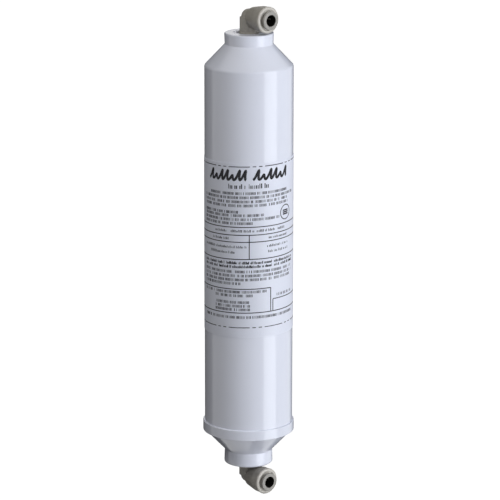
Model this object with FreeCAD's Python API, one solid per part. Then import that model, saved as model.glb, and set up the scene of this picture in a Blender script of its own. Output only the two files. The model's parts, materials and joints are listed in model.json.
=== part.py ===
"""Inline water filter cartridge: a sealed white barrel with a carbon block inside
and a push-in tube elbow screwed into the neck at each end.

Millimetres, +Z up along the cartridge. The origin is on the barrel's axis, half way
between the two neck faces. The inlet is at the top; both tube ports face -Y.
"""
import FreeCAD
import Part
import math
import os

Vector = FreeCAD.Vector

# ---- Driving dimensions: housing -------------------------------------------------
neck_to_neck = 254.0        # from one neck face to the other
barrel_r = 25.4             # outside of the straight barrel
wall = 2.6                  # moulded wall of the barrel and the cones
cone_angle = 46.5           # slope of both end cones, from horizontal
shoulder_round = 2.2        # soft corner between barrel and upper cone
neck_r = 14.1               # neck at its face
neck_draft = 0.25           # how much slimmer the neck is at its root
neck_round = 0.7            # edge of the upper neck face
upper_neck_h = 6.5          # straight part of the inlet neck
lower_neck_h = 8.2          # straight part of the outlet neck
lower_neck_round = 1.1      # edge of the lower neck face

# ---- Driving dimensions: welded outlet end cap -----------------------------------
skirt_proud = 1.0           # weld skirt beyond the barrel
skirt_h = 6.0               # height of the skirt's outside
skirt_round = 0.5           # its upper rim
ledge_w = 1.3               # flat underside of the skirt, outside the lower cone
weld_step = 0.5             # the barrel's end is turned down by this to enter the skirt
weld_gap = 0.05             # radial clearance of that end in the skirt
weld_seat_gap = 0.1         # and at its end face

# ---- Driving dimensions: ports in the necks --------------------------------------
port_bore_r = 6.85          # threaded bore, as a plain wall at its working radius
port_end_gap = 1.0          # room in the bore past the thread's end
port_boss_wall = 3.15       # inside boss around the bore
mouth_gap = 1.9             # counterbore at the neck face, around the stem's corners
mouth_end_gap = 0.4         # and below the base of the deeper stem
face_ring_gap = 1.0         # from the counterbore to the fine moulded step around it
face_ring_w = 0.5
face_ring_depth = 0.25

# ---- Driving dimensions: label -----------------------------------------------------
label_h = 101.6
label_centre_z = 5.5
label_gap = 0.02
label_t = 0.18

# ---- Driving dimensions: push-in elbows -------------------------------------------
inlet_rise = 9.05           # port axis above the inlet neck face
outlet_rise = 8.2           # the outlet elbow is screwed in a little deeper
hex_r = 5.5                 # corner radius of the hexagonal stem
hex_drop = 9.4              # its base below the port axis
back_r = 4.45               # rounded back of the elbow
barrel_start = 3.5          # port barrel, distances along the port from the stem axis
flare_end = 12.0
barrel_front = 16.3
barrel_back_r = 5.9
barrel_wall = 1.1           # around the retaining cap
slot_start = 4.1            # moulding pocket each side, beside the stem
slot_w = 0.8
slot_h = 2.4
slot_top = 2.5              # below the port axis
slot_depth = 1.4
waterway_r = 2.3
tube_stop = 3.0             # where the tube's end comes to rest
socket_step = 0.05          # tube socket beyond the seal, tighter than the collet
gland_start = 7.4
cap_bore_start = 11.3
thread_start = 9.9          # first thread ridge below the port axis
thread_pitch = 1.41
thread_turns = 6
thread_depth = 0.75
thread_end_len = 0.8        # plain pilot below the last ridge
tape_gap = 0.05             # between the tape and the thread's crests
tape_fit = 0.1              # between the tape and the bore
tape_t = 0.35

# ---- Driving dimensions: collet, retaining cap and seal ----------------------------
tube_bore_r = 3.3           # takes a 1/4 inch tube
collet_wall = 0.9
collet_tip = 11.2
collet_face = 19.9
collet_flange_t = 1.5
collet_flange_step = 1.1    # flange beyond the collet's tube
collet_flange_round = 0.4
collet_entry = 0.35         # lead-in at the bore's mouth
collet_head_step = 0.7      # finger heads beyond the collet's tube
collet_head_t = 1.1
collet_head_ramp = 1.0
collet_slot_w = 1.0
collet_slot_end = 15.4
collet_press = 1.3          # travel that frees the tube
tooth_start = 11.75
tooth_ring_t = 0.3
tooth_bite = 0.18           # tooth tips inside the collet's bore
tooth_set = 1.0             # tooth plates' depth in the fingers
tooth_gap = 0.04
ring_front = 17.6           # front face of the retaining cap
ring_step = 0.15            # front ring beyond the barrel
ring_round = 0.7
ring_recess_gap = 0.45      # recess that the collet's flange is pressed into
ring_inner_round = 0.3
ring_gap = 0.05
sleeve_gap = 0.05
sleeve_lead = 0.1           # gap between the sleeve's end and the bore's step
throat_gap = 0.12
cam_gap = 0.3               # around the finger heads at rest
cam_wall = 1.1
cam_start = 12.6
cam_end = 14.1
oring_cord = 1.8
oring_squeeze = 0.15        # seal's hole is smaller than the collet's bore
oring_gap = 0.1
washer_t = 0.4
washer_gap = 0.05

# ---- Driving dimensions: filter pack inside ---------------------------------------
water_gap = 2.3             # annular water path between the netting and the barrel
core_r = 9.8                # outside of the perforated core tube
core_t = 0.9
core_fit = 0.1
core_holes_round = 8
core_hole_r = 1.6
core_hole_rows = 11
core_hole_margin = 12.0
pack_gap = 0.1              # small gap between stacked pieces
fleece_t = 0.75
net_t = 0.7
net_gap = 0.05
net_windows_round = 14
net_window_rows = 14
net_bar = 1.6
net_band = 9.0              # plain band at each end, inside the caps
cap_plate_t = 2.5
cap_skirt_h = 8.0
cap_skirt_t = 1.0
cap_fit = 0.1
fin_count = 4
fin_t = 1.5
fin_gap = 0.3               # between a fin and the barrel's wall
spring_r = 11.0             # mean radius of the hold-down spring
spring_wire = 1.6
spring_turns = 3.75
spring_h = 16.9             # fitted height between the diffuser and the upper cap
spring_gap = 0.15
spring_ring_t = 1.0         # ring on the upper cap around the spring's foot
spring_ring_h = 1.6
diffuser_t = 2.0
diffuser_gap = 0.15
diffuser_hole_r = 1.1
diffuser_rim = 3.15         # from the rim to the outer row of holes
diffuser_row_pitch = 3.0
diffuser_hole_pitch = 6.1   # spacing of the holes along each row
diffuser_boss_gap = 0.6     # boss inside the spring's coils
diffuser_boss_h = 2.0
spigot_socket_r = 7.2
spigot_socket_depth = 18.4
spigot_socket_wall = 2.8
spigot_gap = 0.2
spigot_wall = 2.5
spigot_tip_gap = 0.4        # between the spigot's tip and the polishing pad
spigot_seal_pitch = 3.4
spigot_seal_end = 2.6       # from the spigot's tip to the first seal's centre
spigot_seal_cord = 1.6
spigot_seal_gap = 0.05
web_t = 2.0                 # wall between the spigot's socket and the port
web_hole_step = 3.2         # hole through the web, smaller than the socket by this
pad_t = 2.4
pad_gap = 0.15

# ---- Places worked out from them ---------------------------------------------------
neck_face = neck_to_neck / 2
slope = math.tan(math.radians(cone_angle))
cone_wall = wall / math.sin(math.radians(cone_angle))
bore_r = barrel_r - wall
neck_root_r = neck_r - neck_draft
skirt_r = barrel_r + skirt_proud
ledge_r = skirt_r - ledge_w

shoulder_z = neck_face - upper_neck_h - (barrel_r - neck_root_r) * slope
inner_shoulder_z = shoulder_z - (bore_r + cone_wall - barrel_r) * slope
lower_cone_z = -neck_face + lower_neck_h + (ledge_r - neck_root_r) * slope
rim_z = lower_cone_z + skirt_h
inner_ledge_z = lower_cone_z + (bore_r + cone_wall - ledge_r) * slope
spigot_end_z = inner_ledge_z + weld_seat_gap

thread_end = thread_start + thread_turns * thread_pitch + thread_end_len
deeper_rise = min(inlet_rise, outlet_rise)
port_mouth_r = hex_r + mouth_gap
port_mouth_depth = hex_drop - deeper_rise + mouth_end_gap
port_depth = thread_end - deeper_rise + port_end_gap
port_boss_r = port_bore_r + port_boss_wall
face_ring_r = port_mouth_r + face_ring_gap + face_ring_w
thread_crest_r = port_bore_r - tape_fit - tape_t - tape_gap
thread_root_r = thread_crest_r - thread_depth

collet_r = tube_bore_r + collet_wall
collet_head_r = collet_r + collet_head_step
collet_flange_r = collet_r + collet_flange_step
tooth_tip_r = tube_bore_r - tooth_bite
tooth_root_r = tube_bore_r + tooth_set
oring_inner_r = tube_bore_r - oring_squeeze
socket_r = tube_bore_r - socket_step
gland_r = oring_inner_r + oring_cord + oring_gap
cam_r = collet_head_r + cam_gap
cap_bore_r = cam_r + cam_wall + sleeve_gap
barrel_front_r = cap_bore_r + barrel_wall
ring_r = barrel_front_r + ring_step
ring_recess_r = collet_flange_r + ring_recess_gap

net_r = bore_r - water_gap
fleece_r = net_r - net_t - net_gap
block_r = fleece_r - fleece_t
cap_skirt_in = net_r + cap_fit
cap_r = cap_skirt_in + cap_skirt_t
fin_r = bore_r - fin_gap
diffuser_r = bore_r - diffuser_gap
diffuser_top = inner_shoulder_z + diffuser_gap / 2
diffuser_bottom = diffuser_top - diffuser_t
diffuser_boss_r = spring_r - spring_wire / 2 - diffuser_boss_gap
upper_cap_top = diffuser_bottom - spring_h
block_top = upper_cap_top - cap_plate_t
web_top = -neck_face + port_depth + web_t
socket_top = web_top + spigot_socket_depth
lower_cap_bottom = socket_top + pack_gap
block_bottom = lower_cap_bottom + cap_plate_t
spigot_r = spigot_socket_r - spigot_gap
spigot_bore_r = spigot_r - spigot_wall
socket_boss_r = spigot_socket_r + spigot_socket_wall
pad_top = web_top + pad_gap / 2 + pad_t
spigot_tip = pad_top + spigot_tip_gap


# ---- Shape helpers -------------------------------------------------------------------
def rounded_outline(corners):
    """A closed face in the XZ plane from (radius, height, corner rounding) entries."""
    edges = []
    ends = []
    count = len(corners)
    for index, (x, z, rounding) in enumerate(corners):
        here = Vector(x, 0, z)
        if not rounding:
            ends.append((here, here))
            continue
        before = Vector(corners[index - 1][0], 0, corners[index - 1][1])
        after = Vector(corners[(index + 1) % count][0], 0, corners[(index + 1) % count][1])
        to_before = (before - here).normalize()
        to_after = (after - here).normalize()
        half_angle = to_before.getAngle(to_after) / 2
        reach = rounding / math.tan(half_angle)
        start = here + to_before * reach
        end = here + to_after * reach
        bisector = (to_before + to_after).normalize()
        middle = here + bisector * (rounding / math.sin(half_angle) - rounding)
        edges.append(Part.Arc(start, middle, end).toShape())
        ends.append((start, end))
    for index in range(count):
        leaving = ends[index][1]
        arriving = ends[(index + 1) % count][0]
        edges.append(Part.makeLine(leaving, arriving))
    return Part.Face(Part.Wire(Part.__sortEdges__(edges)))


def turned(corners):
    """A solid turned about Z from an outline of radii and heights."""
    return rounded_outline(corners).revolve(Vector(0, 0, 0), Vector(0, 0, 1), 360)


def tube(outer, inner, low, high):
    """A plain tube about Z."""
    return turned([(inner, low, 0), (outer, low, 0), (outer, high, 0), (inner, high, 0)])


def rod(radius, low, high):
    """A plain rod about Z."""
    return Part.makeCylinder(radius, high - low, Vector(0, 0, low))


def oring(centre_r, cord, height):
    """A round-section ring about Z."""
    return Part.makeTorus(centre_r, cord / 2, Vector(0, 0, height))


def around(shape, count, start=0.0):
    """Copies of a shape evenly spaced about Z."""
    copies = []
    for index in range(count):
        copy = shape.copy()
        copy.rotate(Vector(0, 0, 0), Vector(0, 0, 1), start + 360.0 * index / count)
        copies.append(copy)
    return copies


def pointed_to_port(shape):
    """Turn a shape built along +Z so that it lies along the port, -Y."""
    shape = shape.copy()
    shape.rotate(Vector(0, 0, 0), Vector(1, 0, 0), 90)
    return shape


# ---- Housing ---------------------------------------------------------------------------
def port_cut(face_z, direction, bottom_depth):
    """The bore, its counterbore and the fine ring that are cut into a neck face."""
    outer = face_z + direction
    step = face_z - direction * port_mouth_depth
    bottom = face_z - direction * bottom_depth
    bore = rod(port_bore_r, min(bottom, outer), max(bottom, outer))
    mouth = rod(port_mouth_r, min(step, outer), max(step, outer))
    groove = face_z - direction * face_ring_depth
    ring = tube(face_ring_r, face_ring_r - face_ring_w, min(groove, outer), max(groove, outer))
    return [bore, mouth, ring]


def make_housing_body():
    """Barrel, upper cone and inlet neck in one moulding, open at the bottom."""
    weld_r = barrel_r - weld_step
    boss_z = inner_shoulder_z + (bore_r - port_boss_r) * slope
    boss_end = neck_face - port_depth
    shell = turned([
        (0, neck_face, 0),
        (neck_r, neck_face, neck_round),
        (neck_root_r, neck_face - upper_neck_h, 0.6),
        (barrel_r, shoulder_z, shoulder_round),
        (barrel_r, rim_z, 0),
        (weld_r, rim_z, 0),
        (weld_r, spigot_end_z, 0),
        (bore_r, spigot_end_z, 0),
        (bore_r, inner_shoulder_z, 1.0),
        (port_boss_r, boss_z, 0),
        (port_boss_r, boss_end, 0),
        (0, boss_end, 0),
    ])
    return shell.cut(port_cut(neck_face, 1, port_depth + 1))


def make_outlet_end_cap():
    """Lower end cap: weld skirt, cone, outlet neck and the socket for the filter pack."""
    socket_r = barrel_r - weld_step + weld_gap
    boss_z = inner_ledge_z - (bore_r - socket_boss_r) * slope
    shell = turned([
        (0, -neck_face, 0),
        (neck_r, -neck_face, lower_neck_round),
        (neck_root_r, -neck_face + lower_neck_h, 0.4),
        (ledge_r, lower_cone_z, 0),
        (skirt_r, lower_cone_z, 0.3),
        (skirt_r, rim_z, skirt_round),
        (socket_r, rim_z, 0),
        (socket_r, inner_ledge_z, 0),
        (bore_r, inner_ledge_z, 0),
        (socket_boss_r, boss_z, 0),
        (socket_boss_r, socket_top, 0.5),
        (0, socket_top, 0),
    ])
    socket = rod(spigot_socket_r, web_top, socket_top + 1)
    web_hole = rod(spigot_socket_r - web_hole_step, web_top - web_t - 1, web_top + 1)
    return shell.cut(port_cut(-neck_face, -1, port_depth) + [socket, web_hole])


def make_label_wrap():
    """Paper label all the way round the barrel."""
    inner = barrel_r + label_gap
    low = label_centre_z - label_h / 2
    return tube(inner + label_t, inner, low, low + label_h)


# ---- Filter pack -----------------------------------------------------------------------
def make_inlet_diffuser():
    """Perforated disc that spreads the incoming water, with a boss for the spring."""
    plate = rod(diffuser_r, diffuser_bottom, diffuser_top)
    boss = rod(diffuser_boss_r, diffuser_bottom - diffuser_boss_h, diffuser_bottom)
    holes = []
    radius = diffuser_r - diffuser_rim
    while radius > diffuser_boss_r + 2 * diffuser_hole_r:
        hole = Part.makeCylinder(diffuser_hole_r, diffuser_t + 2,
                                 Vector(radius, 0, diffuser_bottom - 1))
        holes += around(hole, int(2 * math.pi * radius / diffuser_hole_pitch))
        radius -= diffuser_row_pitch
    return plate.fuse(boss).cut(holes)


def make_hold_down_spring():
    """Coil spring that presses the filter pack on to its seat."""
    low = upper_cap_top + spring_gap + spring_wire / 2
    high = diffuser_bottom - spring_gap - spring_wire / 2
    pitch = (high - low) / spring_turns
    path = Part.makeHelix(pitch, high - low, spring_r)
    section = Part.Wire(Part.makeCircle(spring_wire / 2, Vector(spring_r, 0, 0), Vector(0, 1, 0)))
    coil = Part.Wire(path.Edges).makePipeShell([section], True, True)
    coil.translate(Vector(0, 0, low))
    return coil


def cap_fins(low, high):
    """Fins that centre a block cap in the barrel."""
    length = fin_r - cap_skirt_in
    fin = Part.makeBox(length, fin_t, high - low, Vector(cap_skirt_in, -fin_t / 2, low))
    return around(fin, fin_count, 45.0)


def make_upper_block_cap():
    """Closed cap glued on the top of the carbon block, with the spring's seat."""
    low = block_top - cap_skirt_h
    plate = rod(cap_r, block_top, upper_cap_top)
    skirt = tube(cap_r, cap_skirt_in, low, block_top)
    ring_in = spring_r + spring_wire / 2 + spring_gap
    ring = tube(ring_in + spring_ring_t, ring_in, upper_cap_top, upper_cap_top + spring_ring_h)
    return plate.fuse([skirt, ring] + cap_fins(low, upper_cap_top)).removeSplitter()


def make_carbon_block():
    """Pressed activated carbon, water passes from its outside to the core."""
    return tube(block_r, core_r + core_fit, block_bottom + pack_gap, block_top - pack_gap)


def make_prefilter_wrap():
    """Fleece that catches sediment before the carbon."""
    return tube(fleece_r, block_r, block_bottom + pack_gap, block_top - pack_gap)


def make_protective_netting():
    """Open netting sleeve around the fleece."""
    low = block_bottom + pack_gap
    high = block_top - pack_gap
    sleeve = tube(net_r, fleece_r + net_gap, low, high)
    row_pitch = (high - low - 2 * net_band) / net_window_rows
    chord = 2 * math.pi * net_r / net_windows_round - net_bar
    windows = []
    for row in range(net_window_rows):
        window_low = low + net_band + row * row_pitch + net_bar / 2
        window = Part.makeBox(4 * net_t, chord, row_pitch - net_bar,
                              Vector(fleece_r - net_t, -chord / 2, window_low))
        windows += around(window, net_windows_round, (row % 2) * 180.0 / net_windows_round)
    return sleeve.cut(Part.makeCompound(windows))


def make_core_tube():
    """Perforated tube that carries the filtered water down to the spigot."""
    low = block_bottom + pack_gap
    high = block_top - pack_gap
    sleeve = tube(core_r, core_r - core_t, low, high)
    row_pitch = (high - low - 2 * core_hole_margin) / (core_hole_rows - 1)
    holes = []
    for row in range(core_hole_rows):
        height = low + core_hole_margin + row * row_pitch
        hole = Part.makeCylinder(core_hole_r, 4 * core_t, Vector(core_r - 2 * core_t, 0, height),
                                 Vector(1, 0, 0))
        holes += around(hole, core_holes_round, (row % 2) * 180.0 / core_holes_round)
    return sleeve.cut(Part.makeCompound(holes))


def spigot_seal_heights():
    """Centre heights of the two seals on the spigot."""
    first = spigot_tip + spigot_seal_end
    return (first, first + spigot_seal_pitch)


def spigot_seal_centre_r():
    """Mean radius of the spigot seals."""
    return spigot_socket_r - spigot_seal_gap - spigot_seal_cord / 2


def make_lower_block_cap():
    """Cap glued on the bottom of the block, with the outlet spigot."""
    high = block_bottom + cap_skirt_h
    plate = rod(cap_r, lower_cap_bottom, block_bottom)
    skirt = tube(cap_r, cap_skirt_in, block_bottom, high)
    spigot = rod(spigot_r, spigot_tip, lower_cap_bottom)
    cap = plate.fuse([skirt, spigot] + cap_fins(lower_cap_bottom, high))
    cuts = [rod(spigot_bore_r, spigot_tip - 1, block_bottom + 1)]
    root = spigot_seal_centre_r() - spigot_seal_cord / 2 - spigot_seal_gap
    half_groove = spigot_seal_cord / 2 + 2 * spigot_seal_gap
    for height in spigot_seal_heights():
        cuts.append(tube(spigot_r + 1, root, height - half_groove, height + half_groove))
    return cap.cut(cuts).removeSplitter()


def make_spigot_seal(index):
    """One of the two rings that seal the spigot in its socket."""
    return oring(spigot_seal_centre_r(), spigot_seal_cord, spigot_seal_heights()[index])


def make_outlet_polishing_pad():
    """Fleece pad in the spigot's socket, the last thing the water passes."""
    return rod(spigot_socket_r - pad_gap, pad_top - pad_t, pad_top)


# ---- Push-in elbows: local frame, origin where the port axis meets the stem axis -------
def hex_stem():
    """Hexagonal stem from its base up to the port axis, one corner towards the port."""
    points = []
    for index in range(7):
        angle = math.radians(30 + 60 * index)
        points.append(Vector(hex_r * math.cos(angle), hex_r * math.sin(angle), -hex_drop))
    return Part.Face(Part.makePolygon(points)).extrude(Vector(0, 0, hex_drop))


def threaded_stem():
    """Male thread, each turn drawn as a ridge."""
    corners = [(0, -hex_drop, 0), (thread_root_r, -hex_drop, 0)]
    for turn in range(thread_turns):
        top = -(thread_start + turn * thread_pitch)
        corners.append((thread_root_r, top, 0))
        corners.append((thread_crest_r, top - 0.42 * thread_pitch, 0))
        corners.append((thread_crest_r, top - 0.58 * thread_pitch, 0))
    corners.append((thread_root_r, -(thread_end - thread_end_len), 0))
    corners += [(thread_root_r, -thread_end, 0), (0, -thread_end, 0)]
    return turned(corners)


def port_barrel():
    """Flared barrel that holds the collet."""
    return turned([
        (0, barrel_start, 0),
        (barrel_back_r, barrel_start, 0.8),
        (barrel_front_r, flare_end, 6.0),
        (barrel_front_r, barrel_front, 0.25),
        (0, barrel_front, 0),
    ])


def port_cavity():
    """Waterway, tube socket, seal gland and cap bore along the port."""
    return turned([
        (0, 0, 0),
        (waterway_r, 0, 0),
        (waterway_r, tube_stop, 0),
        (socket_r, tube_stop, 0),
        (socket_r, gland_start, 0),
        (gland_r, gland_start, 0),
        (gland_r, cap_bore_start, 0),
        (cap_bore_r, cap_bore_start, 0),
        (cap_bore_r, barrel_front + 1, 0),
        (0, barrel_front + 1, 0),
    ])


def make_elbow_body():
    """Elbow moulding: thread, hexagonal stem, rounded back and port barrel."""
    back = Part.makeSphere(back_r)
    neck = pointed_to_port(rod(back_r, 0, barrel_start + 1))
    body = hex_stem().fuse([threaded_stem(), back, neck, pointed_to_port(port_barrel())])
    cuts = [pointed_to_port(port_cavity())]
    cuts.append(rod(waterway_r, -thread_end - 1, 0))
    cuts.append(Part.makeSphere(waterway_r))
    for side in (-1, 1):
        edge = side * (barrel_back_r + 1)
        depth = slot_depth + 2
        low_x = edge if side < 0 else edge - depth
        cuts.append(Part.makeBox(depth, slot_w, slot_h,
                                 Vector(low_x, -slot_start - slot_w, -slot_top - slot_h)))
    return body.cut(cuts)


def make_thread_seal():
    """Sealing tape wound over the male thread."""
    inner = thread_crest_r + tape_gap
    return tube(inner + tape_t, inner, thread_end_len - thread_end, -thread_start - thread_pitch)


def make_retaining_cap():
    """Cap pressed into the barrel: rounded front ring, throat and locking cam."""
    throat = collet_r + throat_gap
    sleeve_r = cap_bore_r - sleeve_gap
    recess = collet_face - collet_flange_t - collet_press
    start = cap_bore_start + sleeve_lead
    return pointed_to_port(turned([
        (cam_r, start, 0),
        (sleeve_r, start, 0),
        (sleeve_r, barrel_front + ring_gap, 0),
        (ring_r, barrel_front + ring_gap, 0.15),
        (ring_r, ring_front, ring_round),
        (ring_recess_r, ring_front, ring_inner_round),
        (ring_recess_r, recess, 0),
        (throat, recess, 0.2),
        (throat, cam_end, 0),
        (cam_r, cam_start, 0),
    ]))


def collet_slots():
    """The cross-shaped cuts that part the collet's fingers."""
    length = collet_slot_end - collet_tip + 1
    reach = collet_head_r + 1
    slot = Part.makeBox(2 * reach, collet_slot_w, length,
                        Vector(-reach, -collet_slot_w / 2, collet_tip - 1))
    return around(slot, 4)[:2]


def make_collet():
    """Push collet: flanged tube whose four fingers grip the water tube."""
    flange_back = collet_face - collet_flange_t
    head_front = collet_tip + collet_head_t
    blank = turned([
        (tube_bore_r, collet_tip, 0),
        (collet_head_r, collet_tip, 0.2),
        (collet_head_r, head_front, 0.2),
        (collet_r, head_front + collet_head_ramp, 0),
        (collet_r, flange_back, 0),
        (collet_flange_r, flange_back, 0.15),
        (collet_flange_r, collet_face, collet_flange_round),
        (tube_bore_r + collet_entry, collet_face, 0),
        (tube_bore_r, collet_face - collet_entry, 0),
    ])
    groove_low = tooth_start - tooth_gap
    groove_high = tooth_start + tooth_ring_t + tooth_gap
    groove = tube(tooth_root_r + tooth_gap, 1.0, groove_low, groove_high)
    return pointed_to_port(blank.cut(collet_slots() + [groove]))


def make_collet_teeth():
    """Stainless tooth plates set in the collet's four fingers."""
    plates = tube(tooth_root_r, tooth_tip_r, tooth_start, tooth_start + tooth_ring_t)
    return pointed_to_port(plates.cut(collet_slots()))


def make_tube_oring():
    """Seal that closes on the water tube."""
    centre_z = gland_start + oring_gap + oring_cord / 2
    return pointed_to_port(oring(oring_inner_r + oring_cord / 2, oring_cord, centre_z))


def make_thrust_washer():
    """Flat ring between the seal and the collet's fingers."""
    low = gland_start + oring_gap + oring_cord + washer_gap
    return pointed_to_port(tube(gland_r - washer_gap, tube_bore_r + washer_gap, low, low + washer_t))


def at_inlet(shape):
    """Place an elbow piece on the upper neck."""
    shape = shape.copy()
    shape.translate(Vector(0, 0, neck_face + inlet_rise))
    return shape


def at_outlet(shape):
    """Place an elbow piece on the lower neck, its stem up and its port still on -Y."""
    shape = shape.copy()
    shape.rotate(Vector(0, 0, 0), Vector(0, 1, 0), 180)
    shape.translate(Vector(0, 0, -neck_face - outlet_rise))
    return shape


ELBOW_PIECES = {
    "elbow_body": make_elbow_body,
    "thread_seal": make_thread_seal,
    "retaining_cap": make_retaining_cap,
    "collet": make_collet,
    "collet_teeth": make_collet_teeth,
    "tube_oring": make_tube_oring,
    "thrust_washer": make_thrust_washer,
}


def build_all():
    """Every piece of the filter, by node name."""
    nodes = {
        "housing_body": make_housing_body(),
        "outlet_end_cap": make_outlet_end_cap(),
        "label_wrap": make_label_wrap(),
        "inlet_diffuser": make_inlet_diffuser(),
        "hold_down_spring": make_hold_down_spring(),
        "upper_block_cap": make_upper_block_cap(),
        "carbon_block": make_carbon_block(),
        "prefilter_wrap": make_prefilter_wrap(),
        "protective_netting": make_protective_netting(),
        "core_tube": make_core_tube(),
        "lower_block_cap": make_lower_block_cap(),
        "spigot_oring_lower": make_spigot_seal(0),
        "spigot_oring_upper": make_spigot_seal(1),
        "outlet_polishing_pad": make_outlet_polishing_pad(),
    }
    for name, make in ELBOW_PIECES.items():
        piece = make()
        nodes["inlet_" + name] = at_inlet(piece)
        nodes["outlet_" + name] = at_outlet(piece)
    return nodes


os.makedirs("parts", exist_ok=True)
for node_name, solid in build_all().items():
    solid.exportStep("parts/" + node_name + ".step")
    print(node_name, len(solid.Solids), "solid(s)", round(solid.Volume, 1), "mm3", solid.isValid())
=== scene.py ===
"""Looks of an inline water filter cartridge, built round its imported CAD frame.

Everything is in metres, in the frame of the CAD model: +Z runs up the cartridge to the
inlet neck and both tube ports face -Y.
"""
from __future__ import annotations

import json
import logging
import math
from dataclasses import dataclass, field
from enum import Enum
from typing import Callable, Iterable, NamedTuple, Sequence

import bmesh
import bpy
from mathutils import Matrix, Vector


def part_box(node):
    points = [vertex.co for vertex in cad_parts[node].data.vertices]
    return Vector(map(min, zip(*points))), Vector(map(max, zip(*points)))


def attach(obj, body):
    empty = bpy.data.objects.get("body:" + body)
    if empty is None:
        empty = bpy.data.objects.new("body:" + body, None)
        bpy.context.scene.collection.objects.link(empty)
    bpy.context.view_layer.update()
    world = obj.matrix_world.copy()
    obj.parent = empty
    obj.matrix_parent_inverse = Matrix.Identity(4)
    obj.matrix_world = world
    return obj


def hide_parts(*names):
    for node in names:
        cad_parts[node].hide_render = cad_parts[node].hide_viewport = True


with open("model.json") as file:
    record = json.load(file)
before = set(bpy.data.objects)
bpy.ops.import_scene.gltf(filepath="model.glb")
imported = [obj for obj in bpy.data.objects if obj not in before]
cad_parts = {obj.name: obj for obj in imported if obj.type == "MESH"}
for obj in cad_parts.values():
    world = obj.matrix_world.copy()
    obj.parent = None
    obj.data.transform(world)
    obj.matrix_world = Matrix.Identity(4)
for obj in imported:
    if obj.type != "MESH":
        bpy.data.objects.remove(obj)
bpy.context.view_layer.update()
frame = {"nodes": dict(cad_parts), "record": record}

MM = 0.001
SAME_POINT = 1e-4  # millimetres; outline points nearer than this are one point
LOG = logging.getLogger("filter")
Colour = tuple[float, float, float]


# ---------------------------------------------------------------------------- outlines
class Corner(NamedTuple):
    """One corner of a turned outline, in millimetres."""

    r: float
    z: float
    rounding: float = 0.0


class PortEnd(Enum):
    """The two ends of the cartridge, by the first word of their nodes' names."""

    INLET = "inlet"
    OUTLET = "outlet"


def rounded(corners: Sequence[Corner], arc_steps: int = 7, support: float = 0.25) -> list[Vector]:
    """Round the corners of a closed outline and add support points beside each arc.

    Args:
        corners: the outline's corners in order, in millimetres.
        arc_steps: segments in each rounded corner.
        support: distance of the support points from an arc or a sharp corner.

    Returns:
        Points (r, 0, z) in millimetres, in the same order.
    """
    points: list[Vector] = []
    count = len(corners)
    for index, corner in enumerate(corners):
        here = Vector((corner.r, 0, corner.z))
        before = Vector((corners[index - 1].r, 0, corners[index - 1].z)) - here
        after_corner = corners[(index + 1) % count]
        after = Vector((after_corner.r, 0, after_corner.z)) - here
        half_angle = before.angle(after) / 2
        reach = corner.rounding / math.tan(half_angle)
        lead_in = min(reach + support, 0.5 * before.length)
        lead_out = min(reach + support, 0.5 * after.length)
        if lead_in > reach + 0.01:
            points.append(here + before.normalized() * lead_in)
        if corner.rounding:
            start = here + before.normalized() * reach
            end = here + after.normalized() * reach
            bisector = (before.normalized() + after.normalized()).normalized()
            centre = here + bisector * (corner.rounding / math.sin(half_angle))
            sweep = math.pi - 2 * half_angle
            for step in range(arc_steps + 1):
                share = step / arc_steps
                spoke = (start - centre) * math.sin((1 - share) * sweep)
                spoke += (end - centre) * math.sin(share * sweep)
                points.append(centre + spoke / math.sin(sweep))
        else:
            points.append(here)
        if lead_out > reach + 0.01:
            points.append(here + after.normalized() * lead_out)
    # support points of two near corners can meet half way along an edge
    return [point for index, point in enumerate(points)
            if (point - points[index - 1]).length > SAME_POINT]


def turned_mesh(name: str, corners: Sequence[Corner], segments: int = 192,
                arc_steps: int = 7) -> bpy.types.Mesh:
    """Turn a closed outline about Z into a closed mesh.

    Args:
        name: name of the mesh.
        corners: the outline, in millimetres.
        segments: facets round the axis.
        arc_steps: segments in each rounded corner.

    Returns:
        The mesh, in metres, with its faces outwards.
    """
    outline = [p * MM for p in rounded(corners, arc_steps)]
    bm = bmesh.new()
    rings: list[list[bmesh.types.BMVert]] = []
    for point in outline:
        if point.x < 1e-7:
            rings.append([bm.verts.new((0, 0, point.z))])
            continue
        rings.append([
            bm.verts.new((point.x * math.cos(turn), point.x * math.sin(turn), point.z))
            for turn in (2 * math.pi * k / segments for k in range(segments))
        ])
    for index, ring in enumerate(rings):
        other = rings[(index + 1) % len(rings)]
        if len(ring) == 1 and len(other) == 1:
            continue
        for k in range(segments):
            quad = [ring[k % len(ring)], ring[(k + 1) % segments % len(ring)],
                    other[(k + 1) % segments % len(other)], other[k % len(other)]]
            bm.faces.new(list(dict.fromkeys(quad)))
    bmesh.ops.recalc_face_normals(bm, faces=bm.faces)
    mesh = bpy.data.meshes.new(name)
    bm.to_mesh(mesh)
    bm.free()
    return mesh


def new_object(name: str, mesh: bpy.types.Mesh) -> bpy.types.Object:
    """Link a mesh into the scene as a new object at the origin."""
    obj = bpy.data.objects.new(name, mesh)
    bpy.context.scene.collection.objects.link(obj)
    return obj


def smooth(mesh: bpy.types.Mesh, sharp_above: float = 38.0) -> None:
    """Shade a mesh smooth, with edges above an angle in degrees kept sharp."""
    mesh.shade_smooth()
    mesh.set_sharp_from_angle(angle=math.radians(sharp_above))


def paint_bore_shade(obj: bpy.types.Object, material: bpy.types.Material,
               inside: Callable[[Vector], bool]) -> None:
    """Give the faces inside a bore a second material: painted shade, a near-black colour that stands in
    for the shade deep in the bore.

    Args:
        obj: the object, already dressed in its first material.
        material: the bore's painted-shade material.
        inside: tells from a face's centre, in metres, whether it lies in the bore.
    """
    obj.data.materials.append(material)
    index = len(obj.data.materials) - 1
    for face in obj.data.polygons:
        if inside(face.center):
            face.material_index = index


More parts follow.
